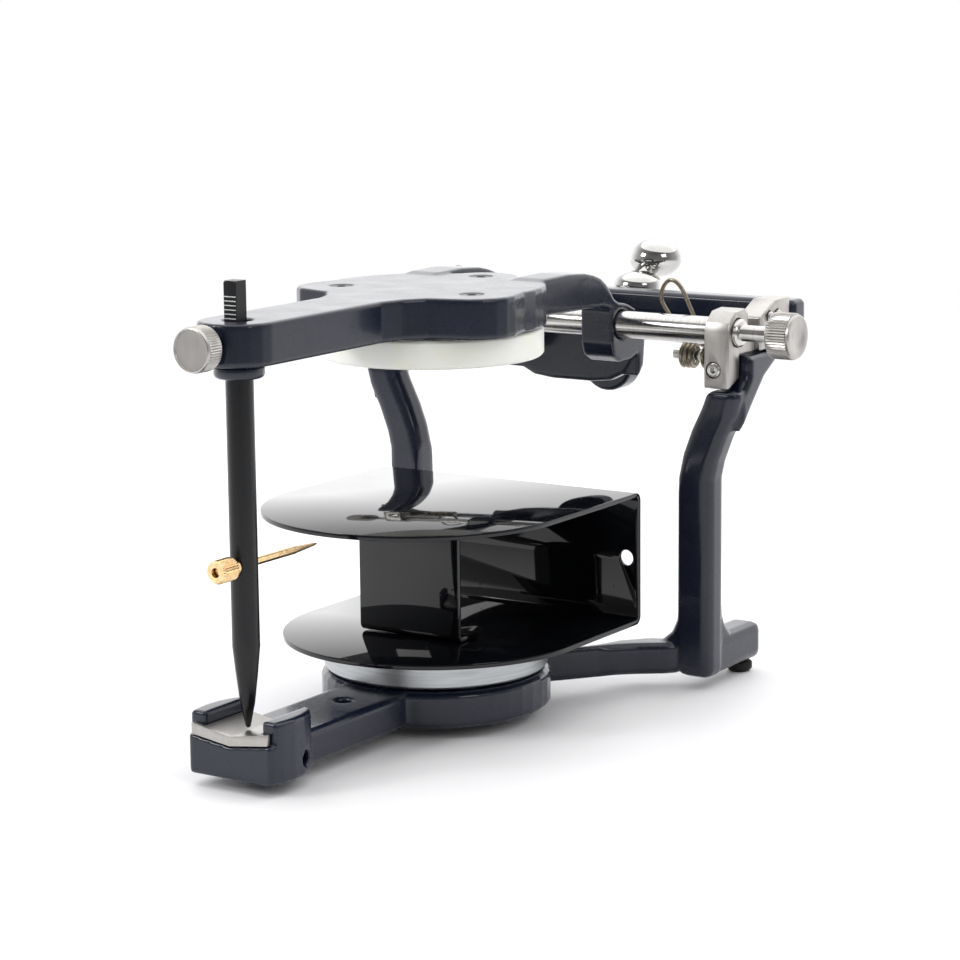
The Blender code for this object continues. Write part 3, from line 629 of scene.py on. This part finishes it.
# The lock screw: an inclined threaded shank, an upright domed collar and an upright flattened ball
lockScrew = {"tilt": math.radians(24.5), "behindPin": 149.9 * mm, "height": 87.2 * mm, "tip": 1.0 * mm,
             "tipLong": 1.2 * mm, "shank": 2.0 * mm, "threadFrom": 2.0 * mm, "threadEnd": 27.0 * mm,
             "pitch": 0.75 * mm, "halfCrest": 0.3 * mm, "threadDeep": 0.25 * mm, "runOut": 1.0 * mm,
             "reach": 42.0 * mm, "neck": 2.3 * mm, "sides": 72}
lockCollar = {"radius": 6.9 * mm, "behindPin": 179.8 * mm, "low": 97.8 * mm, "tall": 5.4 * mm,
              "foot": ((0, 0.5), (0.4, 0), (1.6, 0)), "wall": 1.6 * mm, "sides": 96,
              "angles": range(8, 88, 8)}
lockBall = {"radius": 7.6 * mm, "half": 5.7 * mm, "behindPin": 190.3 * mm, "height": 105.8 * mm,
            "angles": range(-87, 90, 6), "sides": 96}


def ovalRings(low, tall, radius, angles):
    # rings up an upright oval
    turns = [math.radians(angle) for angle in angles]
    return [(low + tall * math.sin(turn), radius * math.cos(turn)) for turn in turns]


def makeLockScrew():
    tip = Vector((0, pinAxis.y + lockScrew["behindPin"], lockScrew["height"]))
    axis = Vector((0, math.cos(lockScrew["tilt"]), math.sin(lockScrew["tilt"])))
    shank, crest, neck = lockScrew["shank"], lockScrew["halfCrest"], lockScrew["neck"]
    rings = [(0, lockScrew["tip"]), (lockScrew["tipLong"], shank)]
    height = lockScrew["threadFrom"]
    while height < lockScrew["threadEnd"]:  # crest, root, crest
        root = (height + crest, shank - lockScrew["threadDeep"])
        rings += [(height, shank), root, (height + 2 * crest, shank)]
        height += lockScrew["pitch"]
    rings += [(lockScrew["threadEnd"] + lockScrew["runOut"], neck), (lockScrew["reach"], neck)]
    screw = lathe("centricLockScrew", rings, tip, axis, lockScrew["sides"])
    wall, wide = lockCollar["wall"], lockCollar["radius"]
    dome = steppedRings(0, 1, lockCollar["foot"], wide)
    dome += ovalRings(wall, lockCollar["tall"] - wall, wide, lockCollar["angles"])
    collar = lathe("lockCollar", dome, (0, pinAxis.y + lockCollar["behindPin"], lockCollar["low"]), (0, 0, 1),
                   lockCollar["sides"])
    bulb = ovalRings(0, lockBall["half"], lockBall["radius"], lockBall["angles"])
    ball = lathe("lockBall", bulb, (0, pinAxis.y + lockBall["behindPin"], lockBall["height"]), (0, 0, 1),
                 lockBall["sides"])
    for other in (collar, ball):
        applyModifier(screw, "BOOLEAN", {"operation": "UNION", "object": other, "solver": "EXACT"})
        bpy.data.objects.remove(other, do_unlink=True)
    settle(screw)
    standIn(screw, "centric_lock_screw", "centric_lock")


makeLockScrew()

springWire = {"radius": 0.55 * mm, "coilRadius": 3.1 * mm, "pitch": 1.35 * mm, "perTurn": 28,
              "behindPin": 143.2 * mm, "height": 86.6 * mm,
              "innerFrom": 39.4 * mm, "innerAngle": math.radians(60), "turns": 3,
              "outerFrom": 41.6 * mm, "outerAngle": math.radians(110), "outerTurns": 2, "loopSteps": 6}
# the loop that stands up behind and over the axle, in millimetres: across, behind the pin, height
springLoop = [(34.3, 143.6, 91.5), (31.6, 142.6, 96.5), (29.6, 141.8, 100.4), (30.3, 141.0, 103.7),
              (32.3, 140.4, 105.9), (34.5, 140.3, 105.9), (36.5, 140.6, 103.7), (38.2, 141.2, 99.6),
              (39.8, 142.2, 95.2), (41.0, 143.6, 91.5)]


def smoothPath(points, steps):
    # a smooth line through every point
    made = []
    padded = [points[0]] + points + [points[-1]]
    for before, start, end, after in zip(padded, padded[1:], padded[2:], padded[3:]):
        for i in range(steps):
            t = i / steps
            made.append(0.5 * ((2 * start) + (end - before) * t
                               + (2 * before - 5 * start + 4 * end - after) * t * t
                               + (3 * start - before - 3 * end + after) * t ** 3))
    return made + [points[-1]]


def coilPoints(startX, direction, startAngle, turns, turnSign):
    points = []
    for i in range(turns * springWire["perTurn"] + 1):
        part = i / springWire["perTurn"]
        angle = startAngle + turnSign * 2 * math.pi * part
        across = startX + direction * springWire["pitch"] * part
        behind = springWire["behindPin"] + springWire["coilRadius"] * math.cos(angle)
        height = springWire["height"] + springWire["coilRadius"] * math.sin(angle)
        points.append(Vector((across, pinAxis.y + behind, height)))
    return points


def makeSpring(nodeName, name, side):
    inner = coilPoints(springWire["innerFrom"], -1, springWire["innerAngle"], springWire["turns"], 1)
    outer = coilPoints(springWire["outerFrom"], 1, springWire["outerAngle"], springWire["outerTurns"], -1)
    loop = [Vector((x * mm, pinAxis.y + y * mm, z * mm)) for x, y, z in springLoop]
    bridge = smoothPath([inner[-2], inner[-1]] + loop + [outer[0], outer[1]], springWire["loopSteps"])
    points = inner[:-2] + bridge + outer[2:]
    curve = bpy.data.curves.new(name, "CURVE")
    curve.dimensions = "3D"
    curve.bevel_depth = springWire["radius"]
    curve.bevel_resolution = 4
    curve.use_fill_caps = True
    spline = curve.splines.new("POLY")
    spline.points.add(len(points) - 1)
    for point, spot in zip(spline.points, points):
        point.co = (side * spot.x, spot.y, spot.z, 1)
    wire = bpy.data.objects.new(name, curve)
    scene.collection.objects.link(wire)
    makeActive(wire)
    bpy.ops.object.convert(target="MESH")
    wire = bpy.context.object
    pointOut(wire)
    settle(wire)
    standIn(wire, nodeName, "lower_member")


makeSpring("condylar_spring_right", "springRight", 1)
makeSpring("condylar_spring_left", "springLeft", -1)


milled = {"blockEdge": 0.18 * mm, "tableEdge": 0.15 * mm, "flatWithin": math.radians(2),
          "bevelFrom": 30, "smoothAngle": math.radians(40)}


def crisp(nodeName, name, edge):
    # a milled part: the node's own form, its flats made whole and its edges broken
    piece = bpy.data.objects.new(name, nodes[nodeName].data.copy())
    scene.collection.objects.link(piece)
    applyModifier(piece, "WELD", {"merge_threshold": bench["weld"]})
    applyModifier(piece, "DECIMATE", {"decimate_type": "DISSOLVE", "angle_limit": milled["flatWithin"]})
    roundEdges(piece, edge, angle=milled["bevelFrom"])
    makeActive(piece)
    bpy.ops.object.shade_smooth_by_angle(angle=milled["smoothAngle"])
    standIn(piece, nodeName, bodyOf(nodeName))


for side in ("right", "left"):
    crisp("condylar_block_" + side, "condylarBlock" + side.title(), milled["blockEdge"])
    crisp("rear_bracket_" + side, "rearBracket" + side.title(), milled["blockEdge"])
crisp("incisal_guide_table", "guideTable", milled["tableEdge"])
print("hinge end made")


# Pin, needle and screws
pinShape = {"radius": 3.25 * mm, "taper": ((0, 0.3), (0.35, 0.6), (6.0, 1.75), (13.0, 2.6)),
            "full": ((19.5, 0), (20.2, 0)), "top": ((0.4, 0), (0, 0.4)), "edge": 0.1 * mm, "sides": 72,
            "bladeFrom": 107.2 * mm, "bladeHalf": 1.78 * mm, "bladeBack": 1.0 * mm, "bladeFront": 2.75 * mm,
            "needleHole": 1.3 * mm, "needleHoleLong": 20 * mm}
millCutter = {"wide": 20 * mm, "tall": 30 * mm}


def makePin():
    low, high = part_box("incisal_pin")
    radius = pinShape["radius"]
    rings = steppedRings(0, 1, pinShape["taper"]) + steppedRings(0, 1, pinShape["full"], radius)
    rings += steppedRings(high[2] - low[2], -1, pinShape["top"], radius)
    pin = lathe("incisalPin", rings, (0, pinAxis.y, low[2]), (0, 0, 1), pinShape["sides"], pinShape["edge"])
    wide, tall = millCutter["wide"], millCutter["tall"]
    cuts = (
        (0, -pinShape["bladeFront"] - wide / 2),
        (0, pinShape["bladeBack"] + wide / 2),
        (pinShape["bladeHalf"] + wide / 2, 0),
        (-pinShape["bladeHalf"] - wide / 2, 0),
    )
    for x, y in cuts:  # four flats make the blade that carries the scale
        deselectAll()
        spot = (x, pinAxis.y + y, pinShape["bladeFrom"] + tall / 2)
        bpy.ops.mesh.primitive_cube_add(size=wide, location=spot)
        mill = bpy.context.object
        mill.scale = (1, 1, tall / wide)
        bpy.context.view_layer.update()
        applyModifier(pin, "BOOLEAN", {"operation": "DIFFERENCE", "object": mill, "solver": "EXACT"})
        bpy.data.objects.remove(mill, do_unlink=True)
    needleSpot = (0, pinAxis.y, middle("indicator_nut").z)
    latheBore(pin, pinShape["needleHole"], needleSpot, (0, 1, 0), pinShape["needleHoleLong"])
    settle(pin)
    standIn(pin, "incisal_pin", "pin")


scaleMarks = {"first": 109.9 * mm, "spacing": 1.0 * mm, "count": 6, "thick": 0.22 * mm, "deep": 0.04 * mm,
              "margins": 0.25 * mm, "edge": 0.015 * mm}


def makeScale():
    # white filled graduations on the front flat
    deselectAll()
    bpy.ops.mesh.primitive_cube_add(size=1, location=(0, 0, 0))
    mark = bpy.context.object
    mark.name = "pinScale"
    wide = 2 * pinShape["bladeHalf"] - scaleMarks["margins"]
    mark.scale = (wide, scaleMarks["deep"] * 2, scaleMarks["thick"])
    mark.location = (0, pinAxis.y - pinShape["bladeFront"], scaleMarks["first"])
    bpy.ops.object.transform_apply(location=True, rotation=True, scale=True)
    applyModifier(mark, "ARRAY", {
        "count": scaleMarks["count"], "use_relative_offset": False, "use_constant_offset": True,
        "constant_offset_displace": (0, 0, scaleMarks["spacing"])})
    roundEdges(mark, scaleMarks["edge"], 1)
    settle(mark)
    mark.data.materials.append(whitePaint())
    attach(mark, "pin")


# Stem steps start at the pin's middle, face steps at the face, and go back from it
thumbscrewShape = {"stem": ((3.9, 1.5), (9.9, 1.5), (9.92, 3.0), (12.2, 3.0), (12.22, 4.7), (12.6, 5.25),
                            (12.9, 5.3), (14.2, 5.3), (15.6, 5.3)),
                   "face": ((0.9, 5.3), (0.6, 5.15), (0.1, 5.0), (0, 4.8), (0.02, 4.6), (0.3, 4.45),
                            (0.34, 3.0), (0.3, 1.2)),
                   "sides": 104, "radius": 5.3 * mm, "knurlFrom": 12.85 * mm, "knurlTo": 0.85 * mm,
                   "depth": 0.26 * mm}


def makeThumbscrew():
    centre = (0, pinAxis.y, middle("pin_thumbscrew").z)
    face = pinAxis.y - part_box("pin_thumbscrew")[0][1]
    rings = steppedRings(0, 1, thumbscrewShape["stem"]) + steppedRings(face, -1, thumbscrewShape["face"])
    screw = lathe("pinThumbscrew", rings, centre, (0, -1, 0), thumbscrewShape["sides"])
    knurl(screw, centre, (0, -1, 0), thumbscrewShape["knurlFrom"], face - thumbscrewShape["knurlTo"],
          thumbscrewShape["radius"], thumbscrewShape["depth"])
    settle(screw)
    standIn(screw, "pin_thumbscrew", "thumbscrew")


needleShape = {"butt": ((0, 0.75), (0.2, 0.95)), "edge": 0.04 * mm, "sides": 40,
               "point": ((9.0, 0.95), (8.8, 0.9), (1.0, 0.35), (0.2, 0.2), (0, 0.08))}


def makeNeedle():
    low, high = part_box("indicator_needle")
    rings = steppedRings(low[1] - pinAxis.y, 1, needleShape["butt"])
    rings += steppedRings(high[1] - pinAxis.y, -1, needleShape["point"])
    needle = lathe("indicatorNeedle", rings, (0, pinAxis.y, middle("indicator_needle").z), (0, 1, 0),
                   needleShape["sides"], needleShape["edge"])
    standIn(needle, "indicator_needle", "needle")


nutShape = {"steps": ((3.6, 2.0), (4.8, 2.0), (4.85, 2.4), (5.2, 2.8), (7.4, 2.8), (7.9, 2.8), (10.2, 2.8),
                      (10.58, 2.4), (10.6, 1.6)),
            "radius": 2.8 * mm, "knurlFrom": 5.1 * mm, "knurlTo": 10.3 * mm, "depth": 0.2 * mm,
            "bore": 1.15 * mm, "boreLong": 40 * mm, "sides": 64}


def makeNut():
    centre = (0, pinAxis.y, middle("indicator_nut").z)
    nut = lathe("indicatorNut", steppedRings(0, 1, nutShape["steps"]), centre, (0, -1, 0), nutShape["sides"])
    knurl(nut, centre, (0, -1, 0), nutShape["knurlFrom"], nutShape["knurlTo"], nutShape["radius"],
          nutShape["depth"])
    latheBore(nut, nutShape["bore"], centre, (0, 1, 0), nutShape["boreLong"])
    settle(nut)
    standIn(nut, "indicator_nut", "needle_nut")


footShape = {"button": ((0, 1.2), (0.1, 0.7), (0.8, 0), (2.4, 0), (2.7, 0.3)),
             "stem": ((2.72, 2.1), (5.2, 2.1)), "sides": 56, "edge": 0.15 * mm}


def makeFoot(nodeName, name):
    spot = middle(nodeName)
    low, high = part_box(nodeName)
    rings = steppedRings(0, 1, footShape["button"], (high[0] - low[0]) / 2)
    rings += steppedRings(0, 1, footShape["stem"])
    foot = lathe(name, rings, (spot.x, spot.y, 0), (0, 0, 1), footShape["sides"], footShape["edge"])
    standIn(foot, nodeName, "lower_member")


makePin()
makeScale()
makeThumbscrew()
makeNeedle()
makeNut()
for nodeName, name in (("rear_foot_right", "rearFootRight"), ("rear_foot_left", "rearFootLeft"),
                       ("front_foot", "frontFoot")):
    makeFoot(nodeName, name)
print("pin and feet made")


# Screws: the head's radius and height, the socket's radius, and the shank under the head where it shows
plateScrew = {"head": 2.85 * mm, "headTall": 2.2 * mm, "socket": 1.35 * mm, "shank": 1.6 * mm,
              "shankTall": 7.2 * mm}
clampScrew = {"head": 1.9 * mm, "headTall": 1.7 * mm, "socket": 0.95 * mm}
bracketScrew = {"head": 1.3 * mm, "headTall": 1.2 * mm, "socket": 0.65 * mm}
setScrew = {"head": 1.5 * mm, "headTall": 3.0 * mm, "socket": 0.8 * mm}
screwCut = {"sides": 48, "edge": 0.06 * mm, "lip": 0.2 * mm, "tip": ((0, 0.25), (0.3, 0)), "step": 0.02 * mm,
            "socketSides": 6, "socketDeep": 0.6}  # deep: of the head's height


def makeSocketScrew(nodeName, name, axis, body, kind):
    # a turned screw with a hexagon socket, seated where its node is
    low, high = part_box(nodeName)
    axis = Vector(axis)
    long = sum(abs(component) * (high[i] - low[i]) for i, component in enumerate(axis))
    base = middle(nodeName) - axis * long / 2
    head = kind["head"]
    if "shank" in kind:
        rings = steppedRings(0, 1, screwCut["tip"], kind["shank"])
        rings += [(kind["shankTall"], kind["shank"]), (long - kind["headTall"] + screwCut["step"], head)]
    else:
        rings = [(0, head)]
    rings += [(long - screwCut["lip"], head), (long, head - screwCut["lip"])]
    screw = lathe(name, rings, base, axis, screwCut["sides"], screwCut["edge"])
    deselectAll()
    bpy.ops.mesh.primitive_cylinder_add(vertices=screwCut["socketSides"], radius=kind["socket"],
                                        depth=2 * kind["headTall"], location=base + axis * long)
    driver = bpy.context.object
    driver.rotation_mode = "QUATERNION"
    driver.rotation_quaternion = Vector((0, 0, 1)).rotation_difference(axis)
    driver.scale = (1, 1, screwCut["socketDeep"])
    bpy.context.view_layer.update()
    applyModifier(screw, "BOOLEAN", {"operation": "DIFFERENCE", "object": driver, "solver": "EXACT"})
    bpy.data.objects.remove(driver, do_unlink=True)
    settle(screw)
    standIn(screw, nodeName, body)


for number in (1, 2, 3):
    makeSocketScrew("plate_screw_%d" % number, "plateScrew%d" % number, (0, 0, 1), "upper_member", plateScrew)
for side, sign in (("right", 1), ("left", -1)):
    makeSocketScrew("block_clamp_screw_" + side, "clampScrew" + side.title(), (0, -1, 0),
                    "clamp_screw_" + side, clampScrew)
    for number in (1, 2):
        makeSocketScrew("rear_bracket_%s_screw_%d" % (side, number),
                        "bracketScrew%s%d" % (side.title(), number), (sign, 0, 0), "lower_member",
                        bracketScrew)
makeSocketScrew("guide_table_set_screw", "guideSetScrew", (1, 0, 0), "guide_set_screw", setScrew)
print("screws made")


# Room, light and camera. Brightness towards the viewer, beside, behind, and how much is left overhead
surroundings = {"viewer": 0.20, "beside": 0.60, "behind": 1.65, "overhead": 0.60,
                "turns": (0.12, 0.5, 0.82), "overheadFades": (0.30, 0.75), "floorSize": 4,
                "floorFades": (0.30, 0.85)}  # turns: from the viewer's side, 0, round to behind, 1


def grey(level):
    return (level, level, level * 1.01, 1.0)


def makeFloor():
    deselectAll()
    bpy.ops.mesh.primitive_plane_add(size=surroundings["floorSize"], location=(0, 0, 0))
    floor = bpy.context.object
    floor.name = "studioFloor"
    made, tree, shader = startMaterial("pale floor", {"Roughness": 0.55, "IOR": 1.25})
    vector = objectCoords(tree)
    paper = mottle(tree, vector, 6, colourOf("#f6f6f7"), colourOf("#f8f8f9"))  # patches 17 cm across
    tree.links.new(paper, shader.inputs["Base Color"])
    # the sheet runs out into the white backdrop, with no edge
    near, far = surroundings["floorFades"]
    reach = addNode(tree, "ShaderNodeVectorMath", {"operation": "LENGTH"}, links={0: vector})
    fade = addNode(tree, "ShaderNodeMapRange", {"interpolation_type": "SMOOTHSTEP"},
                   {"From Min": near, "From Max": far}, {"Value": reach.outputs["Value"]})
    clear = addNode(tree, "ShaderNodeBsdfTransparent")
    blend = addNode(tree, "ShaderNodeMixShader", links={
        0: fade.outputs["Result"], 1: shader.outputs["BSDF"], 2: clear.outputs["BSDF"]})
    tree.links.new(blend.outputs["Shader"], tree.nodes["Material Output"].inputs["Surface"])
    floor.data.materials.append(made)


def makeWorld():
    world = bpy.data.worlds.new("studio")
    scene.world = world
    world.use_nodes = True
    tree = world.node_tree
    backdrop = tree.nodes["Background"]
    coords = addNode(tree, "ShaderNodeTexCoord")
    azimuth = cameraPlace["azimuth"]
    away = addNode(tree, "ShaderNodeVectorMath", {"operation": "DOT_PRODUCT"},
                   {1: (-math.sin(azimuth), math.cos(azimuth), 0)}, {0: coords.outputs["Generated"]})
    around = addNode(tree, "ShaderNodeMapRange", values={"From Min": -1.0, "From Max": 1.0},
                     links={"Value": away.outputs["Value"]})
    ring = addNode(tree, "ShaderNodeValToRGB", links={"Fac": around.outputs["Result"]})
    stops = ring.color_ramp.elements
    viewerTurn, sideTurn, behindTurn = surroundings["turns"]
    stops[0].color, stops[0].position = grey(surroundings["viewer"]), viewerTurn
    stops[1].color, stops[1].position = grey(surroundings["behind"]), behindTurn
    stops.new(sideTurn).color = grey(surroundings["beside"])
    split = addNode(tree, "ShaderNodeSeparateXYZ", links={"Vector": coords.outputs["Generated"]})
    fadesFrom, fadesTo = surroundings["overheadFades"]
    high = addNode(tree, "ShaderNodeMapRange", {"interpolation_type": "SMOOTHSTEP"},
                   {"From Min": fadesFrom, "From Max": fadesTo,
                    "To Min": 1.0, "To Max": surroundings["overhead"]},
                   {"Value": split.outputs["Z"]})
    shade = addNode(tree, "ShaderNodeVectorMath", {"operation": "SCALE"},
                    links={0: ring.outputs["Color"], "Scale": high.outputs["Result"]})
    path = addNode(tree, "ShaderNodeLightPath")
    white = addNode(tree, "ShaderNodeMix", {"data_type": "RGBA"}, {7: (1.0, 1.0, 1.0, 1.0)},
                    {0: path.outputs["Is Camera Ray"], 6: shade.outputs["Vector"]})
    tree.links.new(white.outputs[2], backdrop.inputs["Color"])
    backdrop.inputs["Strength"].default_value = 1.0


skylight = {"from": (0.06, 0.26, 1.0), "spread": math.radians(95), "strength": 2.2}
lights = {  # name: place, aimed at, size in metres, power in watts
    "leftWindow": ((-0.75, -1.15, 0.85), (0, 0, 0.06), 0.5, 8.0),
    "rightFill": ((1.25, -0.45, 0.75), (0, 0.02, 0.06), 0.5, 2.5),
}


def aimLamp(name, lamp, spot, target):
    holder = bpy.data.objects.new(name, lamp)
    scene.collection.objects.link(holder)
    aim = Vector(spot) - Vector(target)
    holder.matrix_world = Matrix.Translation(spot) @ aim.to_track_quat("Z", "Y").to_matrix().to_4x4()


def makeLights():
    for name, (spot, target, size, power) in lights.items():
        lamp = bpy.data.lights.new(name, "AREA")
        lamp.shape = "SQUARE"
        lamp.size = size
        lamp.energy = power
        aimLamp(name, lamp, spot, target)
    lamp = bpy.data.lights.new("skylight", "SUN")
    lamp.angle = skylight["spread"]
    lamp.energy = skylight["strength"]
    aimLamp("skylight", lamp, skylight["from"], (0, 0, 0))


cameraPlace = {"azimuth": math.radians(33.37), "elevation": math.radians(10.43), "roll": math.radians(-0.59),
               "place": (0.40097, -0.59997, 0.19081), "lens": 107.54}


def makeCamera():
    azimuth, elevation, roll = (cameraPlace[key] for key in ("azimuth", "elevation", "roll"))
    outward = Vector((math.sin(azimuth), -math.cos(azimuth), 0))
    back = outward * math.cos(elevation) + Vector((0, 0, math.sin(elevation)))
    level = Vector((math.cos(azimuth), math.sin(azimuth), 0))
    upright = back.cross(level)
    right = math.cos(roll) * level + math.sin(roll) * upright
    up = math.cos(roll) * upright - math.sin(roll) * level
    data = bpy.data.cameras.new("viewCamera")
    data.lens = cameraPlace["lens"]
    data.sensor_width = 36
    data.clip_start = 0.01
    camera = bpy.data.objects.new("viewCamera", data)
    scene.collection.objects.link(camera)
    turn = Matrix((right, up, back)).transposed().to_4x4()
    camera.matrix_world = Matrix.Translation(cameraPlace["place"]) @ turn
    scene.camera = camera


makeFloor()
makeWorld()
makeLights()
makeCamera()
scene.view_settings.view_transform = "Standard"
scene.view_settings.look = "None"
deselectAll()
print("room, lights and camera set")
